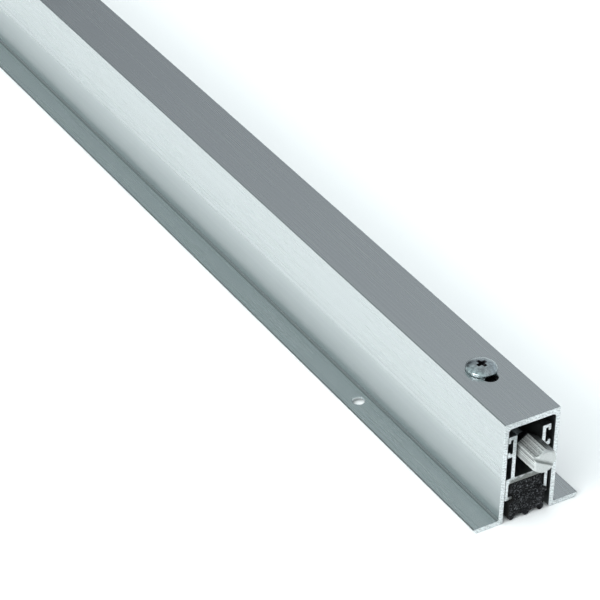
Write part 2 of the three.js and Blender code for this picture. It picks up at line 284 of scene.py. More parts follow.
def carve(piece, *cutters):
    """Cuts closed meshes out of a piece, one after another, and removes them."""
    for cutter in cutters:
        step = piece.modifiers.new("cut", "BOOLEAN")
        step.operation = "DIFFERENCE"
        step.solver = "EXACT"
        step.object = cutter
        depsgraph = bpy.context.evaluated_depsgraph_get()
        made = bpy.data.meshes.new_from_object(piece.evaluated_get(depsgraph))
        piece.modifiers.clear()
        piece.data = made
        bpy.data.objects.remove(cutter)
    return piece


def settle(piece, body, node, materials, rule=None, sharp=32):
    """Gives a finished mesh its materials and shading, hides its CAD node and, if a body is given,
    attaches it to that body.
    rule(centre, normal) picks a face's material, with its centre in millimetres."""
    mesh = piece.data
    mesh.materials.clear()
    for material in materials:
        mesh.materials.append(material)
    for face in mesh.polygons:
        face.material_index = rule(face.center / MM, face.normal) if rule else 0
    mesh.shade_smooth()
    mesh.set_sharp_from_angle(angle=math.radians(sharp))
    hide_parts(node)
    if body:
        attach(piece, body)
    return piece


# ---------- materials ----------


class Nodes:
    """A small helper that adds nodes to a tree."""

    def __init__(self, tree):
        self.tree = tree

    def add(self, kind, **values):
        """A node with its input sockets, or else its own settings, given by name."""
        node = self.tree.nodes.new(kind)
        for key, value in values.items():
            if key in node.inputs:
                self.set(node.inputs[key], value)
            else:
                setattr(node, key, value)
        return node

    def set(self, socket, value):
        if isinstance(value, bpy.types.NodeSocket):
            self.tree.links.new(value, socket)
        else:
            socket.default_value = value

    def ramp(self, value, low, high, out_low=0.0, out_high=1.0, curve="LINEAR"):
        node = self.add("ShaderNodeMapRange", Value=value, interpolation_type=curve)
        limits = {"From Min": low, "From Max": high, "To Min": out_low, "To Max": out_high}
        for key, number in limits.items():
            node.inputs[key].default_value = number
        return node.outputs["Result"]

    def math(self, operation, first, second=0.0):
        node = self.add("ShaderNodeMath", operation=operation)
        self.set(node.inputs[0], first)
        self.set(node.inputs[1], second)
        return node.outputs[0]

    def product(self, first, second):
        return self.math("MULTIPLY", first, second)

    def total(self, *parts):
        """The sum of (value, weight) pairs."""
        result = None
        for value, weight in parts:
            share = value if weight == 1 else self.product(value, weight)
            result = share if result is None else self.math("ADD", result, share)
        return result

    def mix(self, factor, first, second):
        node = self.add("ShaderNodeMix", data_type="RGBA")
        self.set(node.inputs[0], factor)
        self.set(node.inputs[6], first)
        self.set(node.inputs[7], second)
        return node.outputs[2]


class Paint(Nodes):
    """Builds one material."""

    def __init__(self, name, **surface):
        self.material = bpy.data.materials.new(name)
        self.material.use_nodes = True
        super().__init__(self.material.node_tree)
        self.shader = self.tree.nodes["Principled BSDF"]
        for socket, value in surface.items():
            self.shader.inputs[socket.replace("_", " ")].default_value = value
        self.place = self.add("ShaderNodeTexCoord").outputs["Object"]

    def axes(self):
        """The object's X, Y and Z, in metres."""
        return self.add("ShaderNodeSeparateXYZ", Vector=self.place).outputs

    def stretched(self, scale, stretch=(1, 1, 1)):
        """The object's coordinates, in metres, times a scale and a factor for each axis."""
        factors = tuple(scale * s for s in stretch)
        return self.add("ShaderNodeMapping", Vector=self.place, Scale=factors).outputs["Vector"]

    def noise(self, scale, detail=3.0, rough=0.55, stretch=(1, 1, 1)):
        vector = self.stretched(scale, stretch)
        sockets = {"Vector": vector, "Scale": 1.0, "Detail": detail, "Roughness": rough}
        return self.add("ShaderNodeTexNoise", **sockets).outputs["Fac"]

    def cells(self, scale):
        """Rounded cells: their distances, and a random colour for each."""
        return self.add("ShaderNodeTexVoronoi", Vector=self.stretched(scale), Scale=1.0).outputs

    def shade(self, value, low, high, first, second):
        """A colour that goes from the first to the second as the value goes from low to high."""
        return self.mix(self.ramp(value, low, high), first, second)

    def band(self, value, low, high, out_high=1.0):
        """A ramp from 0 whose limits are places in millimetres."""
        return self.ramp(value, low * MM, high * MM, 0.0, out_high)

    def colour(self, value):
        self.set(self.shader.inputs["Base Color"], value)

    def finish(self, colour, roughness, *layers):
        """The material, with its (height, depth in millimetres) layers stacked into the normal."""
        self.colour(colour)
        self.set(self.shader.inputs["Roughness"], roughness)
        normal = None
        for height, depth in layers:
            node = self.add("ShaderNodeBump", Height=height, Distance=depth * MM, Strength=1.0)
            if normal is not None:
                self.set(node.inputs["Normal"], normal)
            normal = node.outputs["Normal"]
        self.set(self.shader.inputs["Normal"], normal)
        return self.material


def grey(value, tint=(1.0, 1.0, 1.0)):
    return (*(value * t for t in tint), 1.0)


COOL = (0.95, 1.0, 1.01)


def drawn_aluminium(name, light, dark, rough, corners=False):
    """Mill-finish extrusion: fine die lines and broad faint bands, both along X. The case's upper
    corners, the roots of its flanges and their rims carry painted shade, thin dark lines where the
    light falls off, and its walls are rubbed low down."""
    paint = Paint(name, Metallic=1.0)
    fine = paint.noise(2600, detail=4, stretch=(0.0012, 1, 1))
    bands = paint.noise(420, detail=2, stretch=(0.001, 1, 1))
    cloud = paint.noise(60, detail=5, stretch=(0.4, 1, 1))
    tone = paint.total((fine, 0.35), (bands, 0.35), (cloud, 0.3))
    metal = paint.shade(tone, 0.15, 0.85, grey(dark, COOL), grey(light, COOL))
    polish = paint.ramp(tone, 0.35, 0.65, rough + 0.05, rough - 0.05)
    if corners:
        height = paint.axes()["Z"]
        across = paint.math("ABSOLUTE", paint.axes()["Y"])
        top, half, tip = CASE_HIGH.z, CASE_HALF, CASE_HIGH.y
        # Painted shade: thin dark lines along the roof's edges, in the roots of the flanges and at
        # the flanges' rims.
        edge = paint.band(across, half - 0.5, half - 0.2)
        edge = paint.product(edge, paint.band(height, top - 0.4, top - 0.15))
        root = paint.band(across, half + 1.0, half + 0.7)
        root = paint.product(root, paint.band(height, FLANGE + 0.5, FLANGE + 0.2))
        rim = paint.band(across, tip - 0.75, tip - 0.4, 0.85)
        painted_shade = paint.total((edge, 0.62), (root, 0.62), (rim, 1))
        metal = paint.mix(painted_shade, metal, grey(0.12, COOL))
        rubbed = paint.product(paint.band(height, 3, 7), paint.band(height, 19, 12, 0.32))
        polish = paint.total((polish, 1), (rubbed, 1))
    grain = paint.noise(5200, detail=2, stretch=(0.25, 1, 1))
    return paint.finish(metal, polish, (fine, 0.0014), (bands, 0.0022), (grain, 0.0015))


def sawn_aluminium(name, painted_plunger_shadow):
    """The bright cut end: slanting saw marks over a fine tear. On the drop bar the end faces at and
    below the channel's floor, near the middle, carry a painted shadow of the plunger, a ragged dark
    band."""
    paint = Paint(name, Metallic=1.0)
    turn = paint.add("ShaderNodeMapping", Vector=paint.place, Rotation=(math.radians(24), 0, 0))
    wave = paint.add("ShaderNodeTexWave", Scale=310.0, Distortion=9.0, Detail=3.0)
    wave.bands_direction = "Z"
    paint.set(wave.inputs["Vector"], turn.outputs["Vector"])
    marks = wave.outputs["Fac"]
    tear = paint.noise(1900, detail=5)
    tone = paint.total((marks, 0.12), (tear, 0.88))
    metal = paint.shade(tone, 0.36, 0.58, grey(0.50, COOL), grey(0.77, COOL))
    # Painted shadow of the plunger on the bar's end, at and below the channel floor.
    if painted_plunger_shadow:
        blur = 0.9
        ragged = paint.ramp(paint.noise(700, detail=4), 0.3, 0.7, -blur * MM, blur * MM)
        height = paint.total((paint.axes()["Z"], 1), (ragged, 1))
        low = paint.band(height, FLOOR_TOP + blur, FLOOR_TOP - blur, 0.85)
        inner = paint.band(paint.math("ABSOLUTE", paint.axes()["Y"]), 7.4, 6.6)
        metal = paint.mix(paint.product(low, inner), metal, (0.10, 0.105, 0.095, 1))
    polish = paint.ramp(tone, 0.3, 0.7, 0.52, 0.36)
    return paint.finish(metal, polish, (marks, 0.006), (tear, 0.016))


def plated_steel(name, light, dark, rough, tint):
    """Plated or blackened steel with a faint cloudy tone."""
    paint = Paint(name, Metallic=1.0)
    cloud = paint.noise(820, detail=5, rough=0.65)
    pits = paint.noise(4200, detail=2)
    metal = paint.shade(cloud, 0.38, 0.62, grey(dark, tint), grey(light, tint))
    polish = paint.ramp(cloud, 0.3, 0.7, rough - 0.05, rough + 0.08)
    return paint.finish(metal, polish, (cloud, 0.006), (pits, 0.002))


def plunger_metal(name, turned_nose, painted_roof_shadow=False, painted_edge_highlight=False):
    """Drawn hexagon bar with lines along it, or its nose with rings from the lathe. One flat has a
    painted shadow of the case's roof, dark towards its inner end, and the corners have a painted
    highlight, bright lines along the edges."""
    paint = Paint(name, Metallic=0.7)
    speck = paint.noise(1900, detail=5)
    if turned_nose:
        ring_pitch = 0.32 * MM
        flat = paint.add("ShaderNodeMapping", Vector=paint.place, Scale=(0, 1, 1))
        flat.inputs["Location"].default_value = (0, 0, -ROD_Z * MM)
        reach = paint.add("ShaderNodeVectorMath", operation="LENGTH")
        paint.set(reach.inputs[0], flat.outputs["Vector"])
        rings = paint.math("SINE", paint.product(reach.outputs["Value"], 2 * math.pi / ring_pitch))
        lines = paint.ramp(rings, -1, 1)
        tone = paint.total((lines, 0.3), (speck, 0.7))
        light, dark = 0.59, 0.48
    else:
        lines = paint.noise(3000, detail=1, stretch=(0.004, 1, 1))
        tone = paint.total((lines, 0.72), (speck, 0.28))
        light, dark = 0.74, 0.14
    # Painted highlight: the soft corners made bright, standing in for glints along the edges.
    if painted_edge_highlight:
        light, dark = 0.95, 0.82
    tint = (0.965, 1.0, 0.985)
    metal = paint.shade(tone, 0.36, 0.64, grey(dark, tint), grey(light, tint))
    # Painted shadow of the case's roof on one flat: dark at its inner end, fading towards the nose.
    if painted_roof_shadow:
        end = CASE_HIGH.x
        lit_share = paint.ramp(paint.axes()["X"], (end + 2.5) * MM, (end + 8.0) * MM, 0.12, 0.6)
        metal = paint.mix(lit_share, grey(0.02), metal)
    polish = paint.ramp(tone, 0.3, 0.7, 0.5, 0.38)
    return paint.finish(metal, polish, (lines, 0.018), (speck, 0.010))


def spring_steel():
    """Blue tempered strip with rolling lines along its length."""
    paint = Paint("tempered_strip", Metallic=1.0)
    lines = paint.noise(1800, detail=3, stretch=(0.01, 1, 1))
    scale = paint.noise(160, detail=5)
    metal = paint.shade(scale, 0.35, 0.65, (0.12, 0.13, 0.16, 1), (0.27, 0.27, 0.28, 1))
    polish = paint.ramp(lines, 0.3, 0.7, 0.3, 0.5)
    return paint.finish(metal, polish, (lines, 0.006), (scale, 0.004))


def block_metal():
    """Dull plated block with short milling marks."""
    paint = Paint("plated_block", Metallic=1.0)
    mill = paint.noise(900, detail=3, stretch=(0.15, 1, 1))
    cloud = paint.noise(240, detail=4)
    metal = paint.shade(cloud, 0.35, 0.65, grey(0.36, COOL), grey(0.52, COOL))
    polish = paint.ramp(mill, 0.3, 0.7, 0.38, 0.56)
    return paint.finish(metal, polish, (mill, 0.012), (cloud, 0.008))


def nylon():
    paint = Paint("natural_nylon", Metallic=0.0)
    mottle = paint.noise(300, detail=3)
    tone = paint.shade(mottle, 0.35, 0.65, (0.70, 0.67, 0.58, 1), (0.80, 0.78, 0.70, 1))
    return paint.finish(tone, paint.ramp(mottle, 0.3, 0.7, 0.4, 0.52), (mottle, 0.01))


def neoprene(name, cut_end):
    """Black closed-cell sponge: a fine moulded skin, or the cut end, whose open cells carry painted
    shade in their hollows and painted light on their torn walls, some of them as bright flecks."""
    paint = Paint(name, Metallic=0.0, Specular_IOR_Level=0.14)
    if cut_end:
        glint_colour = (0.10, 0.104, 0.11, 1)
        pores, small = paint.cells(1900), paint.cells(3600)
        chosen = paint.add("ShaderNodeSeparateColor", Color=pores["Color"]).outputs["Red"]
        walls = paint.total((pores["Distance"], 0.6), (small["Distance"], 0.4))
        black, lit = (0.0005, 0.0005, 0.0007, 1), (0.011, 0.0115, 0.0125, 1)
        # Painted shade and light: black in the cells' hollows, lighter on their walls, and painted
        # glints on some walls.
        torn = paint.shade(walls, 0.36, 0.56, black, lit)
        glint_mask = paint.product(paint.ramp(walls, 0.44, 0.56), paint.ramp(chosen, 0.66, 0.86))
        torn = paint.mix(glint_mask, torn, glint_colour)
        return paint.finish(torn, paint.ramp(walls, 0.2, 0.8, 0.95, 0.75), (walls, 0.2))
    skin = paint.noise(1200, detail=4, stretch=(0.5, 1, 1))
    dents = paint.cells(900)["Distance"]
    tone = paint.shade(skin, 0.35, 0.7, (0.006, 0.006, 0.006, 1), (0.02, 0.019, 0.018, 1))
    return paint.finish(tone, paint.ramp(skin, 0.3, 0.7, 0.65, 0.85), (dents, 0.03), (skin, 0.03))


MILL = drawn_aluminium("mill_aluminium", 0.595, 0.555, 0.26, corners=True)
# Painted shade: a darker copy of the mill finish for the case's inside faces, where shade falls.
MILL_INSIDE_PAINTED_SHADE = drawn_aluminium("channel_aluminium_painted_shade", 0.30, 0.2, 0.42)
# Painted shade: the drop bar's long faces are darker than the case's, as the bar sits in the case's
# shade.
BAR_MILL_PAINTED_SHADE = drawn_aluminium("bar_aluminium", 0.34, 0.24, 0.4)
SAWN = sawn_aluminium("sawn_aluminium", False)
BAR_SAWN = sawn_aluminium("sawn_bar", True)
ZINC = plated_steel("bright_zinc", 0.60, 0.34, 0.2, (0.90, 1.0, 1.03))
# Painted shade: a darker copy of the zinc for the rod, collar and rivets inside the case.
ZINC_INSIDE_PAINTED_SHADE = plated_steel("inner_zinc_painted_shade", 0.22, 0.13, 0.34, (0.92, 1.0, 1.04))
# Blackened steel on the lock nut, partly painted shade there; on the guide block and in the screws'
# cross recesses this dark steel is painted shade.
BLACKED_AND_PAINTED_SHADE = plated_steel("blackened_steel_and_painted_shade", 0.12, 0.07, 0.3, (1.0, 0.95, 1.05))
HEX_LINES = plunger_metal("plunger_sides", False)
HEX_NOSE = plunger_metal("plunger_nose", True)
HEX_PAINTED_SHADOW = plunger_metal("plunger_painted_shadow", False, painted_roof_shadow=True)
HEX_CORNERS_PAINTED_HIGHLIGHT = plunger_metal("plunger_corners_painted_highlight", False, painted_edge_highlight=True)
STRIP = spring_steel()
BLOCK = block_metal()
NYLON = nylon()
SKIN = neoprene("sponge_skin", False)
SPONGE = neoprene("sponge_cut", True)


def ends_of(x_low, x_high, within=0.3):
    """A rule that gives the faces across X at a piece's two ends the second material."""

    def rule(centre, normal):
        at_end = centre.x > x_high - within or centre.x < x_low + within
        return 1 if at_end and abs(normal.x) > 0.6 else 0

    return rule


# ---------- case ----------


def scored(start, end, count, depth=0.008, width=0.16):
    """Shallow die lines across a straight stretch of the outline, at uneven but fixed places."""
    along = (end - start).normalized()
    inwards = Vector((-along.y, along.x))
    points = []
    for k in range(count):
        share = (k + 0.5 + 0.32 * math.sin(7.3 * k + 1.1)) / count
        here = start.lerp(end, share)
        points += [here - along * width / 2, here + inwards * depth, here + along * width / 2]
    return points


def case_outline():
    tip = CASE_HIGH.y
    inner = CASE_HALF - WALL
    top = CASE_HIGH.z
    half = [
        (inner, 0, 0.8),
        (tip - 1.4, 0, 0.25),
        (tip, FLANGE, 0.25),
        (CASE_HALF, FLANGE, 0.5),
        (CASE_HALF, top, 0.4),
    ]
    channel = [(-inner, CEILING, 1.2), (inner, CEILING, 1.2)]
    corners = rounded(mirrored(half) + channel, steps=5)
    outline = []
    for i, here in enumerate(corners):
        outline.append(here)
        after = corners[(i + 1) % len(corners)]
        length = (after - here).length
        outside = max(abs(here.x), abs(after.x)) > CASE_HALF - 0.02 or here.y > CEILING + 1
        if length > 6 and outside and here.y + after.y > 1:
            outline += scored(here, after, int(length / 1.7))
    return outline


def stadium(x_low, x_high, radius, z, steps=16):
    """A round-ended slot outline at height z."""
    ring = []
    for middle, start in ((x_high - radius, -math.pi / 2), (x_low + radius, math.pi / 2)):
        for k in range(steps + 1):
            angle = start + math.pi * k / steps
            ring.append((middle + radius * math.cos(angle), radius * math.sin(angle), z))
    return ring


def slot_cutter(x_low, x_high, width):
    """The roof slot with its upper edge broken."""
    top = CASE_HIGH.z
    edge = 0.18
    layers = [(0, CEILING - 1), (0, top - edge), (edge, top), (edge, top + 1)]
    rings = [stadium(x_low - g, x_high + g, width / 2 + g, z) for g, z in layers]
    count = len(rings[0])
    points = [p for ring in rings for p in ring]
    return new_object("cutter", points, end_caps(count, len(rings)) + quads(count, len(rings)))


def flange_hole(x, y):
    """A hole countersunk from below."""
    profile = [
        (0, -1),
        (FLANGE_SINK, -1),
        (FLANGE_SINK, 0.05),
        (FLANGE_HOLE, FLANGE - 0.75),
        (FLANGE_HOLE, FLANGE - 0.22),
        (FLANGE_HOLE + 0.25, FLANGE + 0.02),
        (FLANGE_HOLE + 0.25, FLANGE + 1),
        (0, FLANGE + 1),
    ]
    return turned("cutter", profile, 40, standing(x, y))


def make_case():
    piece = extrusion("case_shell", case_outline(), CASE_LOW.x, CASE_HIGH.x)
    end = CASE_HIGH.x
    length = CASE_HIGH.x - CASE_LOW.x
    near, far, width = ROOF_SLOT
    cutters = [slot_cutter(end - far, end - near, width)]
    for side in SIDES:
        x = centre_mm(f"anchor_screw_{side}").x
        cutters.append(bore(ANCHOR_HOLE, CEILING, CASE_HIGH.z, standing(x)))
    first, across = FLANGE_HOLE_AT
    pitch = (length - 2 * first) / (FLANGE_HOLE_COUNT - 1)
    for k in range(FLANGE_HOLE_COUNT):
        for y in (-across, across):
            cutters.append(flange_hole(end - first - k * pitch, y))
    carve(piece, *cutters)
    at_ends = ends_of(CASE_LOW.x, CASE_HIGH.x)

    def rule(centre, normal):
        # Faces inside the channel take the darker copy, which is painted shade.
        inside_case = abs(centre.y) < CASE_HALF - WALL + 0.1 and centre.z < CEILING + 0.1
        return at_ends(centre, normal) or (2 if inside_case else 0)

    settle(piece, "case", "case", [MILL, SAWN, MILL_INSIDE_PAINTED_SHADE], rule)


# ---------- drop bar and seal ----------


def bar_outline():
    web_in, web_out, rail, lip = 5.1, 6.5, 8.5, 7.5
    leg_in, leg_out, foot = 7.3, 8.5, 5.6
    top = BAR_HIGH.z
    lower_rail = top - 8.5
    half = [
        (leg_in, FLOOR_BOTTOM, 0.4),
        (leg_in, 9.6, 0.3),
        (foot, 9.6, 0.4),
        (foot, BAR_LOW.z, 0.4),
        (leg_out, BAR_LOW.z, 0.5),
        (leg_out, FLOOR_TOP, 0.3),
        (web_out, FLOOR_TOP, 0.4),
        (web_out, lower_rail, 0.3),
        (rail, lower_rail, 0.35),
        (rail, lower_rail + 2.2, 0.4),
        (lip, lower_rail + 2.2, 0.4),
        (lip, lower_rail + 1.4, 0.25),
        (web_out, lower_rail + 1.4, 0.3),
        (web_out, top - 1.3, 0.3),
        (lip, top - 1.3, 0.25),
        (lip, top - 2.6, 0.4),
        (rail, top - 2.6, 0.4),
        (rail, top, 0.35),
        (web_in, top, 0.3),
        (web_in, FLOOR_TOP, 0.5),
    ]
    return rounded(mirrored(half), steps=3)


def make_drop_bar():
    piece = extrusion("drop_bar_section", bar_outline(), BAR_LOW.x, BAR_HIGH.x, 0.1)
    for side in SIDES:
        x = centre_mm(f"saddle_rivet_{side}").x
        carve(piece, bore(1.6, FLOOR_BOTTOM, FLOOR_TOP, standing(x)))
    at_ends = ends_of(BAR_LOW.x, BAR_HIGH.x)
    # The bar's long faces take the darker aluminium, which is painted shade.
    settle(piece, "drop_bar", "drop_bar", [BAR_MILL_PAINTED_SHADE, BAR_SAWN], at_ends)


def seal_outline(low, high):
    """The sponge strip: head, neck between the bar's feet, and a body with three round ribs."""
    body, neck, head = 7.1, 5.2, 6.6
    rib, pitch = 1.2, 5.9
    rib_z = low + rib
    valley = rib_z + 0.4
    right = [
        (body, BODY_TOP, 0.5),
        (neck, BODY_TOP, 0.2),
        (neck, NECK, 0.2),
        (head, NECK, 0.3),
        (head, high, 1.3),
    ]
    left = [(-y, z, r) for y, z, r in reversed(right)]
    ribs = []
    for i in (-1, 0, 1):
        if i > -1:
            ribs.append(((i - 0.5) * pitch, valley, 0.3))
        for k in range(9):
            angle = math.pi * (1 + k / 8)
            ribs.append((i * pitch + rib * math.cos(angle), rib_z + rib * math.sin(angle), 0.0))
    return rounded(left + ribs + right, steps=3)


def sponge_end(outline, x, outwards):
    """The cut end of the strip as a fine mesh with torn cells, its rim on the outline."""
    step = 0.24
    ys = [p.x for p in outline]
    zs = [p.y for p in outline]
    coords = [p.copy() for p in outline]
    edges = [(i, (i + 1) % len(outline)) for i in range(len(outline))]
    margin = inset(outline, 0.16)
    row = 0
    z = min(zs)
    while z < max(zs):
        y = min(ys) + (row % 2) * step / 2
        while y < max(ys):
            if inside(Vector((y, z)), margin):
                shift = noise.noise_vector(Vector((y * 3.1, z * 3.1, 4.0)))
                coords.append(Vector((y + 0.06 * shift.x, z + 0.06 * shift.y)))
            y += step
        z += step * 0.866
        row += 1
    points, _, faces, *_ = geometry.delaunay_2d_cdt(coords, edges, [], 1, 1e-6)
    rim = len(outline)
    depths = [0.0 if i < rim else sponge_depth(p.x, p.y) for i, p in enumerate(points)]
    made = [(x - outwards * depth, p.x, p.y) for depth, p in zip(depths, points)]
    return made, [tuple(f) if outwards > 0 else tuple(reversed(f)) for f in faces]


def inside(point, outline):
    """True if the point is in the closed outline."""
    found = False
    for i, b in enumerate(outline):
        a = outline[i - 1]
        if (a.y > point.y) != (b.y > point.y):
            crossing = a.x + (point.y - a.y) / (b.y - a.y) * (b.x - a.x)
            found ^= point.x < crossing
    return found


def sponge_depth(y, z):
    """How deep the torn surface lies at a point of the cut end: open cells of two sizes."""
    depth = 0.1
    for size, amount in ((1.0, 0.5), (0.55, 0.2)):
        distance = noise.voronoi(Vector((y / size, z / size, 1.7)))[0][0]
        depth += amount * max(0.0, 0.7 - distance)
    return depth + 0.06 * noise.noise(Vector((y * 0.6, z * 0.6, 2.0)))


# The sponge's head is cut flush with the bar, its body with the case.
HEAD_BACK = CASE_HIGH.x - BAR_HIGH.x
STEP_BACK_FROM = 7.6  # height from which the cut end steps back to the head


def smoothstep(t):
    t = min(max(t, 0.0), 1.0)
    return t * t * (3 - 2 * t)


def make_seal():
    low, high = box_mm("door_seal")
    outline = seal_outline(low.z, high.z)
    piece = extrusion("sponge_seal", outline, low.x, high.x, 0.05, caps=False)
    small = inset(outline, 0.05)
    parts = [piece]
    for x, outwards in ((low.x, -1), (high.x, 1)):
        points, faces = sponge_end(small, x, outwards)
        parts.append(new_object("end", points, faces))
    work = bmesh.new()
    for part in parts:
        work.from_mesh(part.data)
    bmesh.ops.remove_doubles(work, verts=work.verts, dist=2e-6)
    bmesh.ops.recalc_face_normals(work, faces=work.faces)
    middle = (low.x + high.x) / 2
    for vertex in work.verts:
        spot = vertex.co / MM
        back = HEAD_BACK * smoothstep((spot.z - STEP_BACK_FROM) / (NECK - STEP_BACK_FROM))
        vertex.co.x -= math.copysign(back, spot.x - middle) * MM
    work.to_mesh(piece.data)
    work.free()
    for part in parts[1:]:
        bpy.data.objects.remove(part)
    for side in SIDES:
        x = centre_mm(f"saddle_rivet_{side}").x
        carve(piece, bore(2.6, FLOOR_BOTTOM - 1.3, high.z + 1, standing(x), 0, 28))
    at_ends = ends_of(low.x, high.x, 1.9)
    settle(piece, "drop_bar", "door_seal", [SKIN, SPONGE], at_ends, sharp=50)


def make_seal_burr():
    """A torn flap of sponge left by the saw, standing in front of the bar's right foot."""
    end = CASE_HIGH.x
    low, high = Vector((end - 0.95, 4.9, 7.3)), Vector((end - 0.12, 8.2, 10.3))
    piece = block("sponge_burr", low, high, 0.3)
    work = bmesh.new()
    work.from_mesh(piece.data)
    bmesh.ops.subdivide_edges(work, edges=work.edges[:], cuts=5, use_grid_fill=True)
    lean_from = 8.6  # height above which the flap leans towards the middle
    for vertex in work.verts:
        spot = vertex.co / MM
        lean = max(0.0, spot.z - lean_from) / (high.z - lean_from)
        wave = noise.noise(Vector((spot.y * 1.3, spot.z * 1.3, 6.0)))
        vertex.co.y -= (1.3 * lean * smoothstep((spot.y - 6.0) / 2.2) + 0.12 * wave) * MM
        vertex.co.z -= 0.5 * lean * smoothstep((spot.y - 6.5) / 1.7) * MM
        if spot.x > end - 0.5:
            vertex.co.x -= (0.1 + 0.22 * lean + 0.12 * wave) * MM
    work.to_mesh(piece.data)
    work.free()
    settle(piece, "drop_bar", "door_seal", [SPONGE], sharp=50)


# ---------- plunger and rod ----------


def hexagon_outline(across_flats, corner_radius=0.3, pieces=10):
    """The outline of a hexagon with a corner up and softened corners, its sides cut into pieces."""
    corner = across_flats / math.sqrt(3)
    angles = [math.pi / 2 + k * math.pi / 3 for k in range(6)]
    corners = [(corner * math.cos(angle), corner * math.sin(angle)) for angle in angles]
    outline = []
    soft = rounded(corners, corner_radius, 4)
    for i, here in enumerate(soft):
        after = soft[(i + 1) % len(soft)]
        count = pieces if (after - here).length > 1 else 1
        outline += [here.lerp(after, k / count) for k in range(count)]
    return outline


def hexagon_bar(name, across_flats, stations):
    """A hexagon bar along X. Its stations are (x, largest radius), so it is round where that is
    less than the hexagon's own."""
    outline = hexagon_outline(across_flats)
    points = []
    for x, limit in stations:
        for p in outline:
            spot = p * min(1, limit / p.length)
            points.append((x, spot.x, ROD_Z + spot.y))
    count, rings = len(outline), len(stations)
    return outward(new_object(name, points, quads(count, rings) + end_caps(count, rings)))


def chamfered_ends(x_low, x_high, across_flats, chamfer, face_radius, steps=8, both=False):
    """Stations for a bar whose +X end, or both ends, are turned to a cone."""
    corner = across_flats / math.sqrt(3) + 0.05
    cone = [
        (x_high - chamfer * (1 - k / steps), corner + (face_radius - corner) * k / steps)
        for k in range(steps + 1)
    ]
    start = [(x_low + x_high - x, r) for x, r in reversed(cone)] if both else [(x_low, 10.0)]
    return start + cone


def make_plunger():
    low, high = box_mm("plunger_tip")
    across = high.y - low.y
    piece = hexagon_bar("plunger_hexagon", across, chamfered_ends(low.x, high.x, across, 1.1, 3.9))
    tilt = math.radians(150)
    depth, floor_width, mouth_width, reach = 1.2, 0.8, 1.5, 9
    section = [(-depth, -floor_width), (0, -mouth_width), (1, -mouth_width - 0.6)]
    section += [(x, -z) for x, z in reversed(section)]
    points = [(x, y, z / 2) for y in (-reach, reach) for x, z in section]
    count = len(section)
    slot = new_object("cutter", points, end_caps(count, 2) + quads(count, 2))
    nose_tip = Matrix.Translation(Vector((high.x, 0, ROD_Z)) * MM)
    slot.data.transform(nose_tip @ Matrix.Rotation(tilt, 4, "X"))
    tapped = bore(2.8, low.x, low.x + 8.0, lying(), 0.4)
    carve(piece, outward(slot), tapped)
    nose = high.x - 1.25

    def rule(centre, normal):
        if centre.x > nose and normal.x > 0.2:
            return 1
        # The flats face every 60 degrees, and the soft corners face the angles between them.
        angle = math.degrees(math.atan2(normal.z, normal.y)) % 60
        # The soft corners take the painted highlight.
        if 8 < angle < 52:
            return 3
        # The upper flat on the +Y side takes the painted roof shadow.
        return 2 if normal.y > 0.3 and normal.z > 0.6 else 0

    metals = [HEX_LINES, HEX_NOSE, HEX_PAINTED_SHADOW, HEX_CORNERS_PAINTED_HIGHLIGHT]
    settle(piece, "plunger", "plunger_tip", metals, rule, sharp=20)


def make_lock_nut():
    low, high = box_mm("lock_nut")
    across = high.y - low.y
    stations = chamfered_ends(low.x, high.x, across, 0.6, across / 2 - 0.1, both=True)
    piece = hexagon_bar("hexagon_nut", across, stations)
    carve(piece, bore(2.6, low.x, high.x, lying(), 0.4))
    # The nut's dark blackened steel is partly painted shade.
    settle(piece, "push_rod", "lock_nut", [BLACKED_AND_PAINTED_SHADE])


def make_rod():
    low, high = box_mm("push_rod")
    radius = (high.z - low.z) / 2
    threaded = 24.0
    profile = [
        (0, low.x),
        (radius - 0.6, low.x),
        (radius, low.x + 0.6),
        (radius, high.x - threaded),
        (radius, high.x - 0.6),
        (radius - 0.6, high.x),
        (0, high.x),
    ]
    thread = (high.x - threaded, high.x - 0.6, 0.8, 0.36)
    piece = turned("rod", profile, 32, lying(), thread)
    settle(piece, "push_rod", "push_rod", [ZINC_INSIDE_PAINTED_SHADE])


def make_stop_collar():
    """A turned ring on the rod with rounded edges, tapped from above for its screw."""
    low, high = box_mm("stop_collar")
    radius, hole, edge = (high.z - low.z) / 2, 2.65, 0.4
    half = [(hole, edge / 2), (hole + edge / 2, 0)]
    half += [(radius - edge, 0), (radius - edge * 0.3, edge * 0.3), (radius, edge)]
    profile = [(r, low.x + d) for r, d in half] + [(r, high.x - d) for r, d in half[::-1]]
    piece = turned("collar_ring", profile, 48, lying())
    x = (low.x + high.x) / 2
    carve(piece, bore(1.35, ROD_Z, high.z, standing(x), 0.2, 24))
    settle(piece, "push_rod", "stop_collar", [ZINC_INSIDE_PAINTED_SHADE])


def make_set_screw(name, node, body):
    """A socket set screw with a real thread and a cup point."""
    low, high = box_mm(node)
    radius = (high.x - low.x) / 2
    x = (low.x + high.x) / 2
    profile = [
        (0, low.z + 0.25),
        (radius * 0.5, low.z),
        (radius - 0.3, low.z + 0.1),
        (radius, low.z + 0.35),
        (radius, high.z - 0.25),
        (radius - 0.2, high.z),
        (0, high.z),
    ]
    thread = (low.z + 0.36, high.z - 0.26, 0.5, radius * 0.14)
    piece = turned(name, profile, 28, standing(x), thread)
    socket = [(0, high.z - 1.2), (radius * 0.5, high.z - 1.0)]
    socket += [(radius * 0.55, high.z + 1), (0, high.z + 1)]
    carve(piece, turned("cutter", socket, 6, standing(x)))
    settle(piece, body, node, [STRIP])


# ---------- guide, blocks and screws ----------


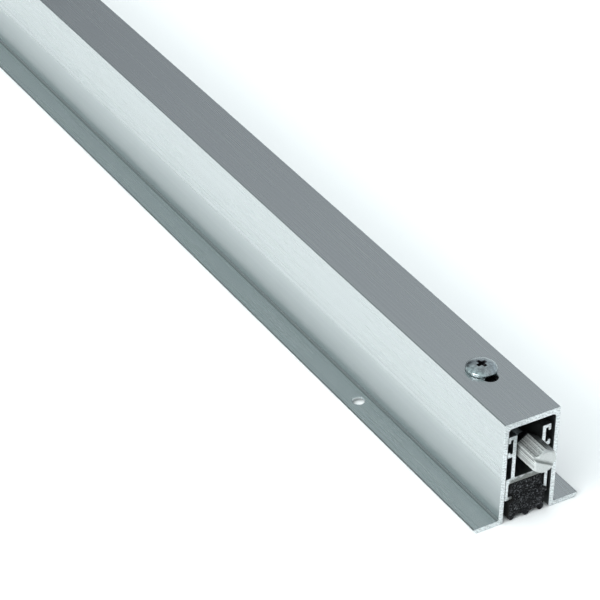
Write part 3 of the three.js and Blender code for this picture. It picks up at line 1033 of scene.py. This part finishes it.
def make_block(name, node, body, material, rod_bore, screw_hole, rivet_hole, screw_x=None):
    """A milled block bored for the rod, tapped from above and drilled from below for its rivet."""
    low, high = box_mm(node)
    x = (low.x + high.x) / 2 if screw_x is None else screw_x
    piece = block(name, low, high)
    cutters = [
        bore(rod_bore, low.x, high.x, lying()),
        bore(screw_hole, ROD_Z, high.z, standing(x), 0.3, 32),
    ]
    if rivet_hole:
        depth = 1.8
        profile = [(0, low.z - 1), (rivet_hole + 0.2, low.z - 1), (rivet_hole, low.z + 0.2)]
        profile += [(rivet_hole, low.z + depth), (0, low.z + depth)]
        cutters.append(turned("cutter", profile, 28, standing(x)))
    carve(piece, *cutters)
    settle(piece, body, node, [material])


def make_bush():
    """The nylon sleeve in the guide, with a collar at its inner end."""
    low, high = box_mm("guide_bush")
    collar = (high.y - low.y) / 2
    sleeve = collar - 0.9
    hole = 2.6
    step = low.x + 1.0
    profile = [
        (hole + 0.2, low.x),
        (collar - 0.3, low.x),
        (collar, low.x + 0.3),
        (collar, step - 0.1),
        (collar - 0.1, step),
        (sleeve, step),
        (sleeve, high.x - 0.5),
        (sleeve - 0.3, high.x),
        (hole + 0.2, high.x),
        (hole, high.x - 0.2),
        (hole, low.x + 0.2),
    ]
    piece = turned("nylon_bush", profile, 48, lying())
    settle(piece, "case", "guide_bush", [NYLON])


def cross_recess(x, top, reach, depth):
    """Cutters for a cross recess: two tapered bars and the cone between them."""
    cutters = []
    for turn in (math.radians(12), math.radians(102)):
        points = []
        for z, length, width in ((top - depth, reach * 0.34, 0.42), (top + 0.6, reach, 0.78)):
            for u, v in ((-1, -1), (1, -1), (1, 1), (-1, 1)):
                spot = Vector((u * length, v * width, 0))
                spot.rotate(Matrix.Rotation(turn, 3, "Z"))
                points.append((x + spot.x, spot.y, z))
        cutters.append(new_object("cutter", points, end_caps(4, 2) + quads(4, 2)))
    cone = [(0, top - depth - 0.25), (reach * 0.3, top - depth)]
    cone += [(reach * 0.5, top + 0.6), (0, top + 0.6)]
    cutters.append(turned("cutter", cone, 24, standing(x)))
    return cutters


def make_pan_screw(name, node):
    """A zinc pan-head screw with a rounded edge and a cut thread, its cross recess painted dark as
    shade.
    """
    low, high = box_mm(node)
    x = (low.x + high.x) / 2
    head = (high.x - low.x) / 2
    shank = 2.3 if head > 5.2 else 2.1
    under = CASE_HIGH.z + 0.02
    rim = 0.85  # height of the head's straight edge
    dome = high.z - under - rim
    profile = [
        (0, low.z),
        (shank - 0.5, low.z),
        (shank, low.z + 0.6),
        (shank, under - 0.4),
        (shank + 0.25, under),
        (head - 0.35, under),
        (head - 0.1, under + 0.12),
        (head, under + 0.4),
        (head, under + rim - 0.15),
    ]
    steps = 12
    for k in range(1, steps + 1):
        angle = math.pi / 2 * k / steps
        radius = head * math.cos(angle) if k < steps else 0
        profile.append((radius, under + rim + dome * math.sin(angle)))
    thread = (low.z + 0.61, under - 1.0, 0.8, 0.36)
    piece = turned(name, profile, 56, standing(x), thread)
    carve(piece, *cross_recess(x, high.z, 2.45, 2.3))

    # The cross recess takes the dark steel: painted shade in the hollow.
    def rule(centre, normal):
        near = math.hypot(centre.x - x, centre.y) < 3.0 and centre.z > under
        return 1 if near and (normal.z < 0.8 or centre.z < high.z - 1.2) else 0

    settle(piece, "case", node, [ZINC, BLACKED_AND_PAINTED_SHADE], rule, sharp=38)


def make_rivet(name, node, body, shank=1.2):
    """A rivet with a domed head at each side that shows, as wide as its CAD node."""
    low, high = box_mm(node)
    middle = (low + high) / 2
    head = (high.x - low.x) / 2
    through = "saddle" in node
    rise = 0.7 if through else 0.8
    profile = [(0, low.z)]
    for k in range(1, 7):
        angle = math.pi / 2 * k / 6
        profile.append((head * math.sin(angle), low.z + rise * (1 - math.cos(angle))))
    profile += [(shank, low.z + rise)]
    if through:
        crown = 0.8
        profile += [(shank, high.z - crown)]
        for k in range(6):
            angle = math.pi / 2 * k / 6
            profile.append((head * math.cos(angle), high.z - crown * (1 - math.sin(angle))))
        profile.append((0, high.z))
    else:
        profile += [(shank, high.z - 0.3), (shank - 0.3, high.z), (0, high.z)]
    piece = turned(name, profile, 36, standing(middle.x))
    settle(piece, body, node, [ZINC_INSIDE_PAINTED_SHADE])


# ---------- leaf springs ----------


def leaf_half(name, middle_x, end_x, heights, flats):
    """Half of a bowed leaf, from its riveted middle to one end, with rounded edges and tip."""
    low_z, high_z = heights
    centre_flat, end_flat = flats
    half_width, edge = 4.5, 0.14
    direction = 1 if end_x > middle_x else -1
    span = abs(end_x - middle_x)
    run = span - centre_flat - end_flat
    places = [span * k / 64 for k in range(62)] + [span - 1.2, span - 0.6, span - 0.25, span]
    points, count = [], 0
    for d in sorted(places):
        t = (d - centre_flat) / run
        z = low_z + (high_z - low_z) * smoothstep(t)
        tip = max(0.0, d - (span - 1.5)) / 1.5
        half = half_width - 1.5 * (1 - math.sqrt(max(0.0, 1 - tip * tip)))
        section = rounded([(-half, 0), (half, 0), (half, LEAF), (-half, LEAF)], edge, 2)
        count = len(section)
        points += [(middle_x + direction * d, p.x, z + p.y) for p in section]
    rings = len(points) // count
    return outward(new_object(name, points, end_caps(count, rings) + quads(count, rings)))


def make_leaf(side):
    """A leaf in two halves, from its riveted middle out to its end on the case and to its end on
    the slider. The halves are baked in place and attached to no body."""
    node = f"leaf_spring_{side}"
    low, high = box_mm(node)
    middle = (low.x + high.x) / 2
    heights = (low.z, high.z - LEAF)
    flats = (5.0, 12.0)
    for kind, end, bodies in (
        ("fixed", low.x, ("case", "drop_bar")),
        ("moving", high.x, ("spring_sliders", "drop_bar")),
    ):
        piece = leaf_half(f"leaf_{side}_{kind}_half", middle, end, heights, flats)
        step = 1 if end > middle else -1
        for x in (middle, end - step * 6.0):
            carve(piece, bore(1.5, low.z - 1, high.z + 1, standing(x), 0.1, 28))
        settle(piece, None, node, [STRIP])
        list(bodies)
        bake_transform(piece)


def make_saddle(side):
    low, high = box_mm(f"spring_saddle_{side}")
    piece = block(f"saddle_plate_{side}", low, high, 0.12)
    carve(piece, bore(1.5, low.z, high.z, standing((low.x + high.x) / 2), 0.1, 28))
    settle(piece, "drop_bar", f"spring_saddle_{side}", [STRIP])


# ---------- studio ----------

CAMERA_ANGLES = (58.665, 33.785, 1.07)  # azimuth, elevation and roll, in degrees
CAMERA_LENS = 158.4
CAMERA_DISTANCE = 0.9558  # metres
FLOOR_GAP = 0.02  # from the underside of the case down to the floor


def make_camera():
    """The photo's viewpoint, in front of the plunger end."""
    azimuth, elevation, roll = map(math.radians, CAMERA_ANGLES)
    level = Vector((math.sin(azimuth), -math.cos(azimuth), 0))
    back = level * math.cos(elevation) + Vector((0, 0, math.sin(elevation)))
    aim = Vector((CASE_HIGH.x - 122.7, -15.6, 20.6)) * MM
    data = bpy.data.cameras.new("camera")
    data.sensor_width = 36
    data.lens = CAMERA_LENS
    data.clip_start, data.clip_end = 0.01, 50
    camera = in_scene("camera", data)
    camera.matrix_world = (
        Matrix.Translation(aim + back * CAMERA_DISTANCE)
        @ back.to_track_quat("Z", "Y").to_matrix().to_4x4()
        @ Matrix.Rotation(roll, 4, "Z")
    )
    bpy.context.scene.camera = camera


def area_light(name, place, aim, size, power):
    data = bpy.data.lights.new(name, "AREA")
    data.shape = "RECTANGLE"
    data.size, data.size_y = size
    data.energy = power
    light = in_scene(name, data)
    light.location = place
    light.rotation_euler = (Vector(aim) - Vector(place)).to_track_quat("-Z", "Y").to_euler()
    return light


def make_world():
    """A pale backdrop at the horizon. Higher up it is light and greenish on the left of the case
    and dark grey on its right, and lighter again overhead and far out to the right. The dark patch
    beyond the far end is there for the screw's domed head to mirror."""
    world = bpy.data.worlds.new("studio")
    bpy.context.scene.world = world
    world.use_nodes = True
    sky = Nodes(world.node_tree)
    place = sky.add("ShaderNodeTexCoord").outputs["Generated"]
    axes = sky.add("ShaderNodeSeparateXYZ", Vector=place).outputs
    right = sky.ramp(axes["Z"], 0.48, 0.62)
    right = sky.mix(right, (0.335, 0.36, 0.39, 1), (0.565, 0.60, 0.62, 1))
    right = sky.mix(sky.ramp(axes["Y"], 0.5, 0.8), right, (0.61, 0.68, 0.73, 1))
    sides = sky.mix(sky.ramp(axes["Y"], -0.35, 0.35), (0.66, 0.79, 0.795, 1), right)
    tones = sky.mix(sky.ramp(axes["Z"], 0.1, 0.38), (0.70, 0.74, 0.76, 1), sides)
    behind = sky.add("ShaderNodeVectorMath", operation="DOT_PRODUCT")
    sky.set(behind.inputs[0], place)
    sky.set(behind.inputs[1], (-0.94, 0.1, 0.33))
    spot = sky.ramp(behind.outputs["Value"], 0.92, 1.0, curve="SMOOTHSTEP")
    tones = sky.mix(spot, tones, (0.10, 0.11, 0.12, 1))
    sky.set(sky.tree.nodes["Background"].inputs["Color"], tones)


def make_studio():
    paint = Paint("pale_floor", Roughness=0.9, Specular_IOR_Level=0.1)
    paper = paint.noise(6, detail=3)
    paint.colour(paint.mix(paper, grey(0.95), grey(0.98)))
    half = 6000
    corners = [(-half, -half, 0), (half, -half, 0), (half, half, 0), (-half, half, 0)]
    floor = new_object("floor", corners, [(0, 1, 2, 3)])
    floor.location.z = -FLOOR_GAP * MM
    floor.data.materials.append(paint.material)
    make_world()
    area_light("top_box", (0.35, -1.3, 2.1), (0.3, 0, 0), (3.4, 3.4), 40).visible_glossy = False
    area_light("back_box", (0.1, 1.3, 2.1), (0.1, 0, 0), (3.4, 3.4), 11).visible_glossy = False
    end = Vector((CASE_HIGH.x, 0, CASE_HIGH.z)) * MM
    key = end + Vector((0.2, -0.81, 0.55)) * 1.6
    area_light("key_box", key, end, (1.1, 0.5), 11)
    side = area_light("side_box", end + Vector((0.05, -1.2, 0.04)), end, (0.8, 0.14), 16)
    side.visible_glossy = False
    side.visible_camera = False
    view = bpy.context.scene.view_settings
    view.view_transform = "Standard"
    view.look = "None"


# ---------- everything ----------


make_camera()
make_case()
make_drop_bar()
make_seal()
make_seal_burr()
make_plunger()
make_lock_nut()
make_rod()
make_stop_collar()
make_set_screw("collar_set_screw", "stop_collar_screw", "push_rod")
make_bush()
screw_x = centre_mm("guide_screw").x
# The guide block, deep in the case, is painted dark as shade.
make_block("guide_body", "guide_block", "case", BLACKED_AND_PAINTED_SHADE, 3.6, 2.45, None, screw_x)
make_pan_screw("guide_pan_screw", "guide_screw")
for side in SIDES:
    make_leaf(side)
    make_saddle(side)
    make_rivet(f"middle_rivet_{side}", f"saddle_rivet_{side}", "drop_bar")
    make_block(f"slider_{side}", f"slider_block_{side}", "spring_sliders", BLOCK, 2.65, 1.95, 1.5)
    make_set_screw(f"slider_set_screw_{side}", f"slider_screw_{side}", "spring_sliders")
    make_rivet(f"moving_end_rivet_{side}", f"slider_rivet_{side}", "spring_sliders")
    make_block(f"anchor_{side}", f"anchor_block_{side}", "case", BLOCK, 3.0, 2.25, 1.5)
    make_pan_screw(f"anchor_pan_screw_{side}", f"anchor_screw_{side}")
    make_rivet(f"fixed_end_rivet_{side}", f"anchor_rivet_{side}", "case")
make_studio()
